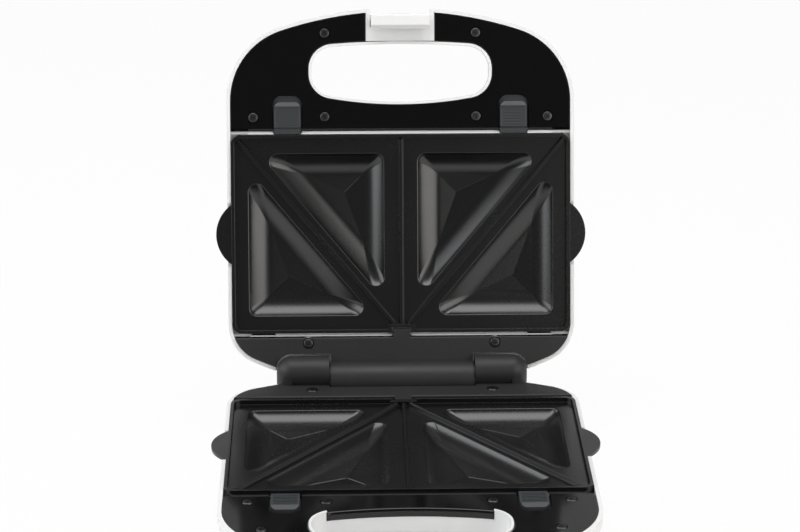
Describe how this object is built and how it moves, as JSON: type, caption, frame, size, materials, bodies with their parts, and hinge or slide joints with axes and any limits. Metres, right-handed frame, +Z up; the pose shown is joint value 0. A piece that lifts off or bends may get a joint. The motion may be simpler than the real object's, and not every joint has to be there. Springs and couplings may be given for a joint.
{
  "type": "sandwich toaster",
  "caption": "Open sandwich toaster: white casing halves with black covers, a lid on a floating hinge, dark plates with triangular pockets held by sliding latches, and a hooked lid latch.",
  "frame": {"origin": "on the table, under the middle of the bounding box of the toaster as it lies open", "axes": "+Z up, -Y to the handle in front, +Y to the hinge and the raised lid, +X to the right seen from the front"},
  "size_m": [0.2456, 0.3364, 0.2808],
  "materials": {
    "white_gloss": "glossy white moulding",
    "black_gloss": "high-gloss black moulding",
    "charcoal_matte": "matte charcoal moulding",
    "slate_matte": "matte dark slate moulding",
    "nonstick_coating": "cast aluminium under a satin dark non-stick coating",
    "heater_steel": "oxidised steel tube",
    "bare_aluminium": "bright pressed sheet",
    "bright_steel": "ground steel",
    "spring_steel": "drawn wire",
    "screw_steel": "dark zinc-plated steel",
    "black_rubber": "soft black rubber",
    "ceramic": "glazed off-white ceramic",
    "red_lens": "translucent red",
    "green_lens": "translucent green",
    "lamp_glass": "clear glass"
  },
  "bodies": {
    "base": {"base_shell": "white_gloss", "base_front_cover": "black_gloss", "base_hinge_cover": "charcoal_matte", "lower_plate": "nonstick_coating", "lower_heating_element": "heater_steel", "lower_heat_reflector": "bare_aluminium", "lower_latch_spring_left": "spring_steel", "lower_latch_spring_right": "spring_steel", "base_cover_screws": "screw_steel", "rubber_feet": "black_rubber", "cord_gland": "black_rubber", "terminal_block": "ceramic"},
    "hinge_pin": {"hinge_pin": "bright_steel"},
    "lid": {"lid_shell": "white_gloss", "lid_front_cover": "black_gloss", "lid_hinge_cover": "charcoal_matte", "upper_plate": "nonstick_coating", "upper_heating_element": "heater_steel", "upper_heat_reflector": "bare_aluminium", "upper_latch_spring_left": "spring_steel", "upper_latch_spring_right": "spring_steel", "lid_cover_screws": "screw_steel", "lid_latch_pin": "bright_steel", "lid_latch_spring": "spring_steel", "thermostat": "bright_steel", "thermal_fuse": "bright_steel", "power_lamp_lens": "red_lens", "ready_lamp_lens": "green_lens", "lamp_holder": "charcoal_matte", "neon_lamps": "lamp_glass"},
    "lid_latch": {"lid_latch": "white_gloss"},
    "lower_plate_latch_left": {"lower_plate_latch_left": "slate_matte"},
    "lower_plate_latch_right": {"lower_plate_latch_right": "slate_matte"},
    "upper_plate_latch_left": {"upper_plate_latch_left": "slate_matte"},
    "upper_plate_latch_right": {"upper_plate_latch_right": "slate_matte"}
  },
  "joints": [
    {"name": "hinge_float", "type": "slide", "parent": "base", "child": "hinge_pin", "axis": [0, 0, 1], "range_m": [0, 0.004]},
    {"name": "lid_hinge", "type": "hinge", "parent": "hinge_pin", "child": "lid", "pos_m": [0, 0.07735, 0.0475], "axis": [-1, 0, 0], "range_deg": [-107.6, 0]},
    {"name": "lid_latch_swing", "type": "hinge", "parent": "lid", "child": "lid_latch", "pos_m": [0, 0.1606, 0.27025], "axis": [-1, 0, 0], "range_deg": [0, 30], "stiffness_Nm_per_rad": 0.02, "springref_deg": -34.38, "deforming": ["lid_latch_spring"]},
    {"name": "lower_plate_latch_left_slide", "type": "slide", "parent": "base", "child": "lower_plate_latch_left", "axis": [0, -1, 0], "range_m": [0, 0.0035], "stiffness_N_per_m": 300, "springref_m": -0.004, "deforming": ["lower_latch_spring_left"]},
    {"name": "lower_plate_latch_right_slide", "type": "slide", "parent": "base", "child": "lower_plate_latch_right", "axis": [0, -1, 0], "range_m": [0, 0.0035], "stiffness_N_per_m": 300, "springref_m": -0.004, "deforming": ["lower_latch_spring_right"]},
    {"name": "upper_plate_latch_left_slide", "type": "slide", "parent": "lid", "child": "upper_plate_latch_left", "axis": [0, 0.3024, 0.9532], "range_m": [0, 0.0035], "stiffness_N_per_m": 300, "springref_m": -0.004, "deforming": ["upper_latch_spring_left"]},
    {"name": "upper_plate_latch_right_slide", "type": "slide", "parent": "lid", "child": "upper_plate_latch_right", "axis": [0, 0.3024, 0.9532], "range_m": [0, 0.0035], "stiffness_N_per_m": 300, "springref_m": -0.004, "deforming": ["upper_latch_spring_right"]}
  ]
}
